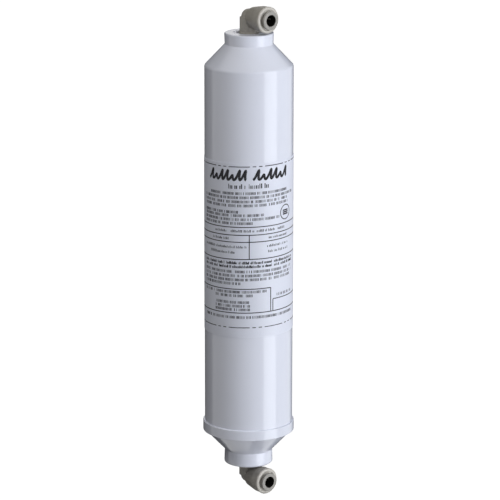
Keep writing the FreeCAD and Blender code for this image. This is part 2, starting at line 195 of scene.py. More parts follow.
def finish_piece(obj: bpy.types.Object, body: str, replaced: Iterable[str] = ()) -> None:
    """Hand a finished piece to the frame and report it.

    Args:
        obj: the piece, at the origin.
        body: the CAD body that it rides on.
        replaced: CAD nodes that it stands for.
    """
    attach(obj, body)
    if replaced:
        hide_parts(*replaced)
    LOG.info("%s: %d vertices on %s", obj.name, len(obj.data.vertices), body)


def settled_mesh(obj: bpy.types.Object) -> bpy.types.Mesh:
    """The evaluated mesh of an object, as plain data."""
    graph = bpy.context.evaluated_depsgraph_get()
    return bpy.data.meshes.new_from_object(obj.evaluated_get(graph), depsgraph=graph)


def boolean(obj: bpy.types.Object, others: Sequence[bpy.types.Object], operation: str) -> None:
    """Apply exact booleans with each of the other objects, and delete those.

    Args:
        obj: the object that is changed.
        others: the cutters or additions.
        operation: UNION or DIFFERENCE.
    """
    for other in others:
        modifier = obj.modifiers.new("joined", "BOOLEAN")
        modifier.operation = operation
        modifier.solver = "EXACT"
        modifier.object = other
        mesh = settled_mesh(obj)
        obj.modifiers.clear()
        obj.data = mesh
        bpy.data.objects.remove(other)


# ---------------------------------------------------------------------------- finishes
class NodeBoard:
    """Small helper that places and links the nodes of a tree."""

    def __init__(self, tree: bpy.types.NodeTree) -> None:
        """Keep the tree that the nodes go into."""
        self.tree = tree

    def socket(self, node: bpy.types.Node, key: str | int) -> bpy.types.NodeSocket:
        """An input of a node by its number, or by the name of one in use."""
        if isinstance(key, int):
            return node.inputs[key]
        return next(put for put in node.inputs if put.name == key and not put.is_unavailable)

    def add(self, kind: str, inputs: dict | None = None, **settings: object) -> bpy.types.Node:
        """Add a node.

        Args:
            kind: the node's bl_idname.
            inputs: socket name or number to a value or to an output socket.
            settings: properties of the node.

        Returns:
            The new node.
        """
        node = self.tree.nodes.new(kind)
        for key, value in settings.items():
            setattr(node, key, value)
        for key, value in (inputs or {}).items():
            socket = self.socket(node, key)
            if isinstance(value, bpy.types.NodeSocket):
                self.tree.links.new(value, socket)
            else:
                socket.default_value = value
        return node


@dataclass(frozen=True)
class Finish:
    """A moulded or woven surface: colour, gloss and fine relief from Object coordinates."""

    name: str
    colour: Colour
    roughness: float
    grain_size: float
    grain_depth: float
    mottle: float = 0.04
    mottle_size: float = 12 * MM
    roughness_spread: float = 0.06
    specular: float = 0.5
    metallic: float = 0.0
    sheen: float = 0.0
    coat: float = 0.0
    stretch: Colour = (1.0, 1.0, 1.0)

    def material(self) -> bpy.types.Material:
        """Build the material.

        Returns:
            A new node material with this finish.
        """
        made = bpy.data.materials.new(self.name)
        made.use_nodes = True
        made.diffuse_color = (*self.colour, 1.0)
        board = NodeBoard(made.node_tree)
        shader = made.node_tree.nodes["Principled BSDF"]
        place = board.add("ShaderNodeTexCoord").outputs["Object"]
        stretched = board.add("ShaderNodeMapping", {"Vector": place, "Scale": self.stretch})
        where = stretched.outputs["Vector"]
        self.paint(board, shader, where)
        self.gloss(board, shader, where)
        self.relief(board, shader, where)
        shader.inputs["Metallic"].default_value = self.metallic
        shader.inputs["Specular IOR Level"].default_value = self.specular
        shader.inputs["Sheen Weight"].default_value = self.sheen
        shader.inputs["Coat Weight"].default_value = self.coat
        return made

    def noise(self, board: NodeBoard, where: bpy.types.NodeSocket, size: float,
              detail: float = 3.0) -> bpy.types.NodeSocket:
        """A noise pattern with features of about one size.

        Args:
            board: the material's board.
            where: coordinates in metres.
            size: feature size in metres.
            detail: octaves of finer detail.

        Returns:
            The noise value, about 0 to 1.
        """
        pattern = board.add("ShaderNodeTexNoise",
                            {"Vector": where, "Scale": 1.0 / size, "Detail": detail})
        return pattern.outputs["Fac"]

    def shade(self, factor: float) -> tuple[float, float, float, float]:
        """The finish's colour made lighter or darker by a factor."""
        return tuple(min(1.0, part * factor) for part in self.colour) + (1.0,)

    def paint(self, board: NodeBoard, shader: bpy.types.Node, where: bpy.types.NodeSocket) -> None:
        """Set the base colour: two close shades in soft clouds."""
        clouds = self.noise(board, where, self.mottle_size)
        mix = board.add("ShaderNodeMix", {"Factor": clouds}, data_type="RGBA")
        mix.inputs["A"].default_value = self.shade(1 - self.mottle)
        mix.inputs["B"].default_value = self.shade(1 + self.mottle)
        board.tree.links.new(mix.outputs["Result"], shader.inputs["Base Color"])

    def gloss(self, board: NodeBoard, shader: bpy.types.Node, where: bpy.types.NodeSocket) -> None:
        """Set the roughness, with faint handling marks."""
        marks = self.noise(board, where, self.mottle_size * 0.4, 6.0)
        spread = board.add("ShaderNodeMapRange", {"Value": marks, "From Min": 0.3, "From Max": 0.7})
        spread.inputs["To Min"].default_value = self.roughness - self.roughness_spread
        spread.inputs["To Max"].default_value = self.roughness + self.roughness_spread
        board.tree.links.new(spread.outputs["Result"], shader.inputs["Roughness"])

    def height(self, board: NodeBoard, where: bpy.types.NodeSocket) -> bpy.types.NodeSocket:
        """The relief's height pattern."""
        return self.noise(board, where, self.grain_size, 4.0)

    def relief(self, board: NodeBoard, shader: bpy.types.Node, where: bpy.types.NodeSocket) -> None:
        """Set the normal from the height pattern."""
        bump = board.add("ShaderNodeBump", {"Height": self.height(board, where)})
        bump.inputs["Strength"].default_value = 1.0
        bump.inputs["Distance"].default_value = self.grain_depth
        board.tree.links.new(bump.outputs["Normal"], shader.inputs["Normal"])


@dataclass(frozen=True)
class GranularFinish(Finish):
    """Pressed grains, as in a carbon block."""

    def height(self, board: NodeBoard, where: bpy.types.NodeSocket) -> bpy.types.NodeSocket:
        """Packed grains of different heights."""
        grains = board.add("ShaderNodeTexVoronoi", {"Vector": where, "Scale": 1 / self.grain_size})
        return grains.outputs["Distance"]


@dataclass(frozen=True)
class BandedFinish(Finish):
    """Fine lines round the part, as on wound tape or drawn wire."""

    band: float = 1.0 * MM

    def height(self, board: NodeBoard, where: bpy.types.NodeSocket) -> bpy.types.NodeSocket:
        """Even bands along Z, roughened by noise."""
        bands = board.add("ShaderNodeTexWave", {"Vector": where, "Scale": 0.314 / self.band},
                          wave_type="BANDS", bands_direction="Z")
        bands.inputs["Distortion"].default_value = 1.5
        return bands.outputs["Fac"]


class FinishName(Enum):
    """Every finish used, by what wears it."""

    HOUSING = "housing"
    LABEL = "label"
    INK = "ink"
    FITTING = "fitting"
    FITTING_RING = "fitting_ring"
    COLLET = "collet"
    # faces deep in the ports get painted shade: near-black in place of the fittings' own grey
    PAINTED_SHADE_BORE = "bore"
    INNER_PLASTIC = "inner_plastic"
    NETTING = "netting"
    CARBON = "carbon"
    FLEECE = "fleece"
    SEAL = "seal"
    TAPE = "tape"
    SPRING_STEEL = "spring_steel"


FINISHES: dict[FinishName, Finish] = {
    FinishName.HOUSING: Finish("glossy_white_plastic", (0.755, 0.775, 0.87), 0.15, 2.5 * MM,
                               0.0012 * MM, mottle=0.01, roughness_spread=0.015),
    FinishName.LABEL: Finish("coated_label_paper", (0.755, 0.775, 0.87), 0.45, 0.35 * MM,
                             0.006 * MM, mottle=0.03, mottle_size=0.9 * MM,
                             roughness_spread=0.08, specular=0.4),
    FinishName.INK: Finish("black_label_ink", (0.006, 0.006, 0.009), 0.6, 0.3 * MM, 0.003 * MM,
                           mottle=0.3, mottle_size=1.5 * MM, specular=0.3),
    FinishName.FITTING: Finish("warm_grey_acetal", (0.34, 0.32, 0.285), 0.42, 0.35 * MM,
                               0.010 * MM, mottle=0.22, mottle_size=1.4 * MM),
    FinishName.FITTING_RING: Finish("light_grey_acetal", (0.56, 0.53, 0.48), 0.34, 0.35 * MM,
                                    0.006 * MM, mottle=0.06, mottle_size=2.5 * MM),
    FinishName.COLLET: Finish("mid_grey_acetal", (0.30, 0.285, 0.26), 0.36, 0.3 * MM,
                              0.005 * MM, mottle=0.06, mottle_size=2 * MM),
    # painted shade: this near-black colour on the bores' faces stands in for the shade deep inside the
    # ports; the real moulding and collet are grey there too
    FinishName.PAINTED_SHADE_BORE: Finish("painted_shade_bore", (0.012, 0.012, 0.011), 0.6, 0.4 * MM, 0.01 * MM,
                            mottle=0.2, mottle_size=2 * MM, specular=0.1),
    FinishName.INNER_PLASTIC: Finish("natural_moulding", (0.76, 0.76, 0.72), 0.4, 0.8 * MM,
                                     0.006 * MM),
    FinishName.NETTING: Finish("extruded_netting", (0.66, 0.69, 0.72), 0.35, 0.5 * MM, 0.01 * MM),
    FinishName.CARBON: GranularFinish("pressed_carbon", (0.018, 0.018, 0.019), 0.85, 0.7 * MM,
                                      0.12 * MM, mottle=0.4, mottle_size=1.2 * MM, specular=0.3),
    FinishName.FLEECE: Finish("white_fleece", (0.82, 0.82, 0.80), 0.9, 0.25 * MM, 0.05 * MM,
                              mottle=0.06, mottle_size=2 * MM, sheen=0.3,
                              stretch=(1.0, 1.0, 0.35)),
    FinishName.SEAL: Finish("black_rubber", (0.02, 0.02, 0.021), 0.55, 0.3 * MM, 0.006 * MM,
                            mottle=0.2, mottle_size=3 * MM),
    FinishName.TAPE: BandedFinish("thread_tape", (0.84, 0.84, 0.84), 0.5, 0.4 * MM, 0.04 * MM,
                                  band=1.4 * MM),
    FinishName.SPRING_STEEL: BandedFinish("bright_spring_steel", (0.60, 0.60, 0.62), 0.28,
                                          0.2 * MM, 0.004 * MM, metallic=1.0, band=0.3 * MM),
}


class Wardrobe:
    """Makes each finish's material once and dresses pieces in it."""

    def __init__(self) -> None:
        """Start with no material made."""
        self.made: dict[FinishName, bpy.types.Material] = {}

    def material(self, name: FinishName) -> bpy.types.Material:
        """The material of a finish, made on first use."""
        if name not in self.made:
            self.made[name] = FINISHES[name].material()
        return self.made[name]

    def dress(self, obj: bpy.types.Object, name: FinishName) -> None:
        """Give a whole object one finish."""
        if not obj.material_slots:
            obj.data.materials.append(None)
        for slot in obj.material_slots:
            slot.material = self.material(name)

    def dress_cad_nodes(self) -> None:
        """Dress every CAD node in the finish of its material slot."""
        for row in frame["record"]["subparts"]:
            self.dress(frame["nodes"][row["node"]], FinishName(row["material_slot"]))


# ----------------------------------------------------------------------------- housing
@dataclass
class Housing:
    """White barrel with the inlet neck, and the welded cap with the outlet neck.

    Sizes are in millimetres. Its outside size and places come from the frame.
    """

    wall: float = 2.6
    cone_angle: float = 46.5
    neck_r: float = 14.1
    neck_draft: float = 0.25
    neck_h: dict[PortEnd, float] = field(
        default_factory=lambda: {PortEnd.INLET: 6.5, PortEnd.OUTLET: 8.2})
    neck_round: dict[PortEnd, float] = field(
        default_factory=lambda: {PortEnd.INLET: 0.7, PortEnd.OUTLET: 1.1})
    shoulder_round: float = 2.2
    skirt_h: float = 6.0
    skirt_round: float = 0.5
    ledge_w: float = 1.3
    weld_step: float = 0.5
    weld_gap: float = 0.05
    port_bore_r: float = 6.85
    port_depth: float = 11.96
    web_t: float = 2.0
    web_hole_r: float = 4.0
    spigot_socket_r: float = 7.2
    port_mouth_r: float = 7.4
    port_mouth_depth: float = 1.6
    face_ring_r: float = 8.9
    face_ring_w: float = 0.5
    face_ring_depth: float = 0.25
    boss_r: float = 10.0
    bead_r: float = 0.14
    bead_wander: float = 0.04

    def __post_init__(self) -> None:
        """Read the outside sizes from the frame and work out the cones."""
        low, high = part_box("housing_body")
        cap_low, cap_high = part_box("outlet_end_cap")
        self.barrel_r = high.x / MM
        self.neck_face = high.z / MM
        self.housing_end = low.z / MM
        self.skirt_r = cap_high.x / MM
        self.slope = math.tan(math.radians(self.cone_angle))
        self.cone_wall = self.wall / math.sin(math.radians(self.cone_angle))
        self.bore_r = self.barrel_r - self.wall
        self.neck_root_r = self.neck_r - self.neck_draft
        self.ledge_r = self.skirt_r - self.ledge_w
        self.shoulder_z = (self.neck_face - self.neck_h[PortEnd.INLET]
                           - (self.barrel_r - self.neck_root_r) * self.slope)
        self.ledge_z = (-self.neck_face + self.neck_h[PortEnd.OUTLET]
                        + (self.ledge_r - self.neck_root_r) * self.slope)
        self.rim_z = self.ledge_z + self.skirt_h

    def neck_mouth(self) -> list[Corner]:
        """The threaded bore and the stepped face of a neck that points up.

        Returns:
            Corners from the bore's inner end out to the face's outer edge.
        """
        face = self.neck_face
        ring_in = self.face_ring_r - self.face_ring_w
        return [
            Corner(self.port_bore_r, face - self.port_depth),
            Corner(self.port_bore_r, face - self.port_mouth_depth),
            Corner(self.port_mouth_r, face - self.port_mouth_depth),
            Corner(self.port_mouth_r, face, 0.15),
            Corner(ring_in, face, 0.08),
            Corner(ring_in, face - self.face_ring_depth),
            Corner(self.face_ring_r, face - self.face_ring_depth),
            Corner(self.face_ring_r, face, 0.08),
        ]

    def barrel_mesh(self) -> bpy.types.Mesh:
        """Barrel, upper cone and inlet neck with their real wall."""
        inner_shoulder = self.shoulder_z - (self.bore_r + self.cone_wall - self.barrel_r) * self.slope
        boss_z = inner_shoulder + (self.bore_r - self.boss_r) * self.slope
        boss_end = self.neck_face - self.port_depth
        weld_r = self.barrel_r - self.weld_step
        corners = self.neck_mouth()
        corners += [
            Corner(self.neck_r, self.neck_face, self.neck_round[PortEnd.INLET]),
            Corner(self.neck_root_r, self.neck_face - self.neck_h[PortEnd.INLET], 0.6),
            Corner(self.barrel_r, self.shoulder_z, self.shoulder_round),
            Corner(self.barrel_r, self.rim_z),
            Corner(weld_r, self.rim_z),
            Corner(weld_r, self.housing_end),
            Corner(self.bore_r, self.housing_end),
            Corner(self.bore_r, inner_shoulder, 1.0),
            Corner(self.boss_r, boss_z, 0.4),
            Corner(self.boss_r, boss_end),
        ]
        return turned_mesh("housing_shell", corners)

    def cap_mesh(self) -> bpy.types.Mesh:
        """Weld skirt, lower cone and outlet neck, turned with the neck up and then flipped."""
        inner_ledge = -self.ledge_z - (self.bore_r + self.cone_wall - self.ledge_r) * self.slope
        boss_z = inner_ledge + (self.bore_r - self.boss_r) * self.slope
        socket_top = -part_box("outlet_end_cap")[1].z / MM
        web_top = self.neck_face - self.port_depth - self.web_t
        socket_r = self.barrel_r - self.weld_step + self.weld_gap
        corners = [
            Corner(self.spigot_socket_r, socket_top),
            Corner(self.spigot_socket_r, web_top),
            Corner(self.web_hole_r, web_top),
            Corner(self.web_hole_r, web_top + self.web_t),
        ]
        corners += self.neck_mouth()
        corners += [
            Corner(self.neck_r, self.neck_face, self.neck_round[PortEnd.OUTLET]),
            Corner(self.neck_root_r, self.neck_face - self.neck_h[PortEnd.OUTLET], 0.4),
            Corner(self.ledge_r, -self.ledge_z, 0.25),
            Corner(self.skirt_r, -self.ledge_z, 0.35),
            Corner(self.skirt_r, -self.rim_z, self.skirt_round),
            Corner(socket_r, -self.rim_z, 0.1),
            Corner(socket_r, inner_ledge),
            Corner(self.bore_r, inner_ledge),
            Corner(self.boss_r, boss_z, 0.4),
            Corner(self.boss_r, socket_top, 0.5),
        ]
        mesh = turned_mesh("outlet_cap_shell", corners)
        mesh.transform(Matrix.Rotation(math.pi, 4, "Y"))
        return mesh

    def bead_mesh(self) -> bpy.types.Mesh:
        """Thin uneven bead of weld flash in the corner between skirt rim and barrel."""
        around, across = 360, 10
        bm = bmesh.new()
        rings = []
        for k in range(around):
            turn = 2 * math.pi * k / around
            wander = self.bead_wander * math.sin(7 * turn) * math.sin(3 * turn + 1.0)
            size = self.bead_r + wander
            ring = []
            for m in range(across):
                side = 2 * math.pi * m / across
                r = (self.barrel_r + size * 0.7 * math.cos(side)) * MM
                z = (self.rim_z + size * 0.6 * math.sin(side)) * MM
                ring.append(bm.verts.new((r * math.cos(turn), r * math.sin(turn), z)))
            rings.append(ring)
        for k in range(around):
            here, there = rings[k], rings[(k + 1) % around]
            for m in range(across):
                n = (m + 1) % across
                bm.faces.new((here[m], here[n], there[n], there[m]))
        bmesh.ops.recalc_face_normals(bm, faces=bm.faces)
        mesh = bpy.data.meshes.new("weld_bead")
        bm.to_mesh(mesh)
        bm.free()
        return mesh

    def build(self, wardrobe: Wardrobe) -> None:
        """Build and dress the housing's pieces."""
        barrel = new_object("housing_shell", self.barrel_mesh())
        cap = new_object("outlet_cap_shell", self.cap_mesh())
        bead = new_object("weld_bead", self.bead_mesh())
        replaced = {barrel: ["housing_body"], cap: ["outlet_end_cap"], bead: []}
        for piece, nodes in replaced.items():
            smooth(piece.data)
            wardrobe.dress(piece, FinishName.HOUSING)
            finish_piece(piece, "root", nodes)


# ------------------------------------------------------------------------------- label
@dataclass(frozen=True)
class Stroke:
    """A line of print on the flat label: its points (u, v) in millimetres, and its widths."""

    points: tuple[tuple[float, float], ...]
    weight: float = 1.0
    closed: bool = False


@dataclass(frozen=True)
class TextStyle:
    """How one kind of greeked text line looks, in millimetres."""

    letter_h: float
    pitch: float
    stroke_w: float
    blank_share: float
    seed: int
    low_share: float


class GeometryTree:
    """A geometry node tree with named inputs, built in code."""

    def __init__(self, name: str, inputs: dict[str, str]) -> None:
        """Make the tree.

        Args:
            name: name of the tree.
            inputs: socket name to socket type, after the geometry input.
        """
        self.tree = bpy.data.node_groups.new(name, "GeometryNodeTree")
        face = self.tree.interface
        face.new_socket("Geometry", in_out="INPUT", socket_type="NodeSocketGeometry")
        for key, kind in inputs.items():
            face.new_socket(key, in_out="INPUT", socket_type=kind)
        face.new_socket("Geometry", in_out="OUTPUT", socket_type="NodeSocketGeometry")
        self.board = NodeBoard(self.tree)
        self.source = self.board.add("NodeGroupInput")
        self.sink = self.board.add("NodeGroupOutput")

    def given(self, name: str) -> bpy.types.NodeSocket:
        """The socket of one of the tree's inputs."""
        return self.source.outputs[name]

    def math(self, operation: str, first: object, second: object = 0.0) -> bpy.types.NodeSocket:
        """A math node's result."""
        node = self.board.add("ShaderNodeMath", {0: first, 1: second}, operation=operation)
        return node.outputs[0]

    def wrapped(self, flat: bpy.types.NodeSocket) -> bpy.types.NodeSocket:
        """Wrap flat print (u, v, height) on to the barrel.

        Args:
            flat: the flat geometry.

        Returns:
            The geometry on the barrel's surface.
        """
        parts = self.board.add("ShaderNodeSeparateXYZ",
                               {0: self.board.add("GeometryNodeInputPosition").outputs[0]})
        turn = self.math("ADD", self.given("Centre Angle"),
                         self.math("DIVIDE", parts.outputs["X"], self.given("Barrel Radius")))
        radius = self.math("ADD", self.given("Barrel Radius"), parts.outputs["Z"])
        lift = self.math("MULTIPLY", parts.outputs["X"],
                         self.math("TANGENT", self.given("Tilt")))
        on_barrel = self.board.add("ShaderNodeCombineXYZ", {
            "X": self.math("MULTIPLY", radius, self.math("COSINE", turn)),
            "Y": self.math("MULTIPLY", radius, self.math("SINE", turn)),
            "Z": self.math("ADD", self.math("ADD", parts.outputs["Y"], self.given("Rise")), lift),
        })
        placed = self.board.add("GeometryNodeSetPosition",
                                {"Geometry": flat, "Position": on_barrel.outputs[0]})
        return placed.outputs[0]

    def end(self, geometry: bpy.types.NodeSocket) -> None:
        """Close the tree with Realize Instances and Set Material."""
        real = self.board.add("GeometryNodeRealizeInstances", {"Geometry": geometry})
        inked = self.board.add("GeometryNodeSetMaterial",
                               {"Geometry": real.outputs[0], "Material": self.given("Ink")})
        self.tree.links.new(inked.outputs[0], self.sink.inputs[0])

    def run(self, obj: bpy.types.Object, values: dict[str, object]) -> bpy.types.Mesh:
        """Run the tree on an object.

        Args:
            obj: the object with the flat geometry; it is removed.
            values: input name to value.

        Returns:
            The result as a plain mesh.
        """
        modifier = obj.modifiers.new("print", "NODES")
        modifier.node_group = self.tree
        for item in self.tree.interface.items_tree:
            if item.in_out == "INPUT" and item.name in values:
                modifier[item.identifier] = values[item.name]
        mesh = settled_mesh(obj)
        obj.modifiers.clear()
        bpy.data.objects.remove(obj)
        return mesh


PLACE_INPUTS = {"Barrel Radius": "NodeSocketFloat", "Centre Angle": "NodeSocketFloat",
                "Tilt": "NodeSocketFloat", "Rise": "NodeSocketFloat", "Ink Thickness": "NodeSocketFloat",
                "Ink": "NodeSocketMaterial"}


def rule_tree() -> GeometryTree:
    """Tree that turns flat polylines into thin inked lines on the barrel."""
    made = GeometryTree("inked_lines", {"Line Width": "NodeSocketFloat",
                                        "Step": "NodeSocketFloat", **PLACE_INPUTS})
    board = made.board
    curve = board.add("GeometryNodeMeshToCurve", {"Mesh": made.given("Geometry")})
    dense = board.add("GeometryNodeResampleCurve",
                      {"Curve": curve.outputs[0], "Length": made.given("Step")}, mode="LENGTH")
    upright = board.add("GeometryNodeSetCurveNormal", {"Curve": dense.outputs[0]}, mode="Z_UP")
    weight = board.add("GeometryNodeInputNamedAttribute", {"Name": "weight"}, data_type="FLOAT")
    sized = board.add("GeometryNodeSetCurveRadius", {"Curve": upright.outputs[0],
                                                     "Radius": weight.outputs["Attribute"]})
    section = board.add("GeometryNodeCurvePrimitiveQuadrilateral",
                        {"Width": made.given("Line Width"), "Height": made.given("Ink Thickness")})
    swept = board.add("GeometryNodeCurveToMesh", {"Curve": sized.outputs[0],
                                                  "Profile Curve": section.outputs[0],
                                                  "Fill Caps": True})
    board.tree.links.new(weight.outputs["Attribute"], board.socket(swept, "Scale"))
    made.end(made.wrapped(swept.outputs[0]))
    return made


def text_tree() -> GeometryTree:
    """Tree that fills flat lines with short upright strokes, as greeked text."""
    made = GeometryTree("greeked_text", {
        "Pitch": "NodeSocketFloat", "Stroke Width": "NodeSocketFloat",
        "Letter Height": "NodeSocketFloat", "Blank Share": "NodeSocketFloat",
        "Low Share": "NodeSocketFloat", "Seed": "NodeSocketInt", **PLACE_INPUTS})
    board = made.board
    curve = board.add("GeometryNodeMeshToCurve", {"Mesh": made.given("Geometry")})
    dense = board.add("GeometryNodeResampleCurve",
                      {"Curve": curve.outputs[0], "Length": made.given("Pitch")}, mode="LENGTH")
    keep = board.add("FunctionNodeRandomValue", {"Seed": made.given("Seed")}, data_type="BOOLEAN")
    board.tree.links.new(made.math("SUBTRACT", 1.0, made.given("Blank Share")),
                         keep.inputs["Probability"])
    stroke_size = board.add("ShaderNodeCombineXYZ", {"X": made.given("Stroke Width"),
                                                     "Y": made.given("Letter Height"),
                                                     "Z": made.given("Ink Thickness")})
    stroke = board.add("GeometryNodeMeshCube", {"Size": stroke_size.outputs[0]})
    low = board.add("FunctionNodeRandomValue", {"Seed": made.math("ADD", made.given("Seed"), 7.0)},
                    data_type="BOOLEAN")
    board.tree.links.new(made.given("Low Share"), low.inputs["Probability"])
    wide = board.add("FunctionNodeRandomValue", {"Seed": made.math("ADD", made.given("Seed"), 3.0)},
                     data_type="FLOAT")
    wide.inputs[2].default_value = 0.7
    wide.inputs[3].default_value = 1.7
    is_low = low.outputs[3]
    tall = made.math("SUBTRACT", 1.0, made.math("MULTIPLY", is_low, 0.3))
    scale = board.add("ShaderNodeCombineXYZ", {"X": wide.outputs[1], "Y": tall, "Z": 1.0})
    drop = made.math("MULTIPLY", made.math("MULTIPLY", is_low, -0.15), made.given("Letter Height"))
    shift = board.add("ShaderNodeCombineXYZ", {"Y": drop})
    lowered = board.add("GeometryNodeSetPosition", {"Geometry": dense.outputs[0],
                                                    "Offset": shift.outputs[0]})
    strokes = board.add("GeometryNodeInstanceOnPoints", {
        "Points": lowered.outputs[0], "Selection": keep.outputs[3],
        "Instance": stroke.outputs["Mesh"], "Scale": scale.outputs[0]})
    real = board.add("GeometryNodeRealizeInstances", {"Geometry": strokes.outputs[0]})
    made.end(made.wrapped(real.outputs[0]))
    return made


@dataclass
class Label:
    """Paper label round the barrel with a generic, wordless print. Sizes in millimetres."""

    thickness: float = 0.18
    overlap: float = 9.0
    tilt: float = 0.8
    print_tilt: float = 1.5
    print_rise: float = 2.0
    centre_azimuth: float = -38.5
    ink_thickness: float = 0.02
    ink_lift: float = 0.012
    rule_w: float = 0.52
    mark_r: float = 4.2
    wave_steps: int = 16
    wave_mean: float = 0.72
    wave_cycle: float = 3.0
    wave_loop: float = 0.315

    def __post_init__(self) -> None:
        """Read the label's place from the frame."""
        low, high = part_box("label_wrap")
        self.low = low.z / MM
        self.high = high.z / MM
        self.outer_r = high.x / MM
        self.inner_r = self.outer_r - self.thickness
        # the azimuth of a view is measured from -Y, a polar angle from +X
        self.centre_angle = math.radians(self.centre_azimuth - 90)
        self.half_turn = math.pi * self.outer_r

    def sheet_mesh(self) -> bpy.types.Mesh:
        """The paper: once round, with a lapped joint at the back."""
        around, rows = 300, 8
        lap_angle = self.overlap / self.outer_r
        start = self.centre_angle - math.pi
        bm = bmesh.new()
        skins: list[list[list[bmesh.types.BMVert]]] = []
        for depth in (0.0, self.thickness):
            skin = []
            for k in range(around + 1):
                turn = start + (2 * math.pi + lap_angle) * k / around
                past = (turn - start) - (2 * math.pi - 0.02)
                lift = min(max(past / 0.02, 0.0), 1.0) * (self.thickness + 0.02)
                arc = (turn - self.centre_angle) * self.outer_r
                shear = arc * math.tan(math.radians(self.tilt))
                r = (self.inner_r + lift + depth) * MM
                column = []
                for m in range(rows + 1):
                    z = (self.low + (self.high - self.low) * m / rows + shear) * MM
                    column.append(bm.verts.new((r * math.cos(turn), r * math.sin(turn), z)))
                skin.append(column)
            skins.append(skin)
        inner, outer = skins
        for k in range(around):
            for m in range(rows):
                bm.faces.new((outer[k][m], outer[k + 1][m], outer[k + 1][m + 1], outer[k][m + 1]))
                bm.faces.new((inner[k][m + 1], inner[k + 1][m + 1], inner[k + 1][m], inner[k][m]))
            bm.faces.new((inner[k][0], inner[k + 1][0], outer[k + 1][0], outer[k][0]))
            bm.faces.new((outer[k][rows], outer[k + 1][rows], inner[k + 1][rows], inner[k][rows]))
        for k, flip in ((0, False), (around, True)):
            for m in range(rows):
                quad = [inner[k][m], outer[k][m], outer[k][m + 1], inner[k][m + 1]]
                bm.faces.new(quad[::-1] if flip else quad)
        bmesh.ops.recalc_face_normals(bm, faces=bm.faces)
        mesh = bpy.data.meshes.new("label_sheet")
        bm.to_mesh(mesh)
        bm.free()
        return mesh

    # -- the print, on the flat label: u to the right of its centre line, v up ----------
    def border(self, height: float, reach: float) -> list[Stroke]:
        """A dash-dot-dot border line at one height."""
        lengths = (12.4, 2.0, 2.0)
        gap = 1.6
        strokes = []
        u = -reach
        index = 0
        while u < reach:
            end = u + lengths[index % 3]
            strokes.append(Stroke(((u, height), (end, height)), 0.9))
            u = end + gap
            index += 1
        return strokes

    def scribble(self, start: float, end: float, height: float, base: float,
                 waves: int, slant: float) -> Stroke:
        """A looping line with no letters in it, to stand where a heading stands.

        Args:
            start: left end.
            end: right end.
            height: height of its waves.
            base: height of its foot line.
            waves: how many waves it makes.
            slant: how far its tops lean to the right.

        Returns:
            The stroke.
        """
        points = []
        steps = waves * self.wave_steps
        low_share = 1 - self.wave_mean
        for k in range(steps + 1):
            share = k / steps
            wave = 0.5 - 0.5 * math.cos(2 * math.pi * waves * share)
            tall = self.wave_mean + low_share * math.cos(2 * math.pi * share * waves / self.wave_cycle)
            v = height * wave * tall
            loop = self.wave_loop * math.sin(2 * math.pi * waves * share)
            points.append((start + (end - start) * share + slant * v + loop, base + v))
        return Stroke(tuple(points), 1.0)

    def rules(self, reach: float) -> list[Stroke]:
        """The ruled lines and boxes of the table and the address box."""
        box_right, small_left = 13.1, 14.6
        lines = [((-reach, v), (reach, v)) for v in (17.5, 12.9, 8.8, -1.2, -32.7)]
        lines += [
            ((0.3, 12.9), (0.3, -1.2)),
            ((-reach, -18.7), (box_right, -18.7)),
            ((box_right, -18.7), (box_right, -32.7)),
            ((small_left, -25.6), (reach, -25.6)),
            ((small_left, -25.6), (small_left, -32.7)),
        ]
        return [Stroke(line) for line in lines]

    def mark(self, u: float, v: float) -> list[Stroke]:
        """A plain ring with three bars, where a mark would be."""
        ring = tuple((u + self.mark_r * math.cos(2 * math.pi * k / 40),
                      v + self.mark_r * math.sin(2 * math.pi * k / 40)) for k in range(40))
        bars = [Stroke(((u - 2.3, v + dv), (u + 2.3, v + dv)), 1.6) for dv in (-1.1, 0.0, 1.1)]
        return [Stroke(ring, 1.1, True)] + bars

    def flat_object(self, strokes: Sequence[Stroke]) -> bpy.types.Object:
        """Strokes as a flat mesh of edges with a weight on each point."""
        bm = bmesh.new()
        weights = bm.verts.layers.float.new("weight")
        for stroke in strokes:
            chain = []
            for u, v in stroke.points:
                vert = bm.verts.new((u * MM, v * MM, self.ink_lift * MM))
                vert[weights] = stroke.weight
                chain.append(vert)
            for first, second in zip(chain, chain[1:]):
                bm.edges.new((first, second))
            if stroke.closed:
                bm.edges.new((chain[-1], chain[0]))
        mesh = bpy.data.meshes.new("flat_print")
        bm.to_mesh(mesh)
        bm.free()
        return new_object("flat_print", mesh)

    def text_lines(self) -> dict[str, tuple[TextStyle, list[Stroke]]]:
        """The greeked text: style and lines by kind."""
        def row(left: float, right: float, v: float) -> Stroke:
            """A line of text at one height."""
            return Stroke(((left, v), (right, v)))

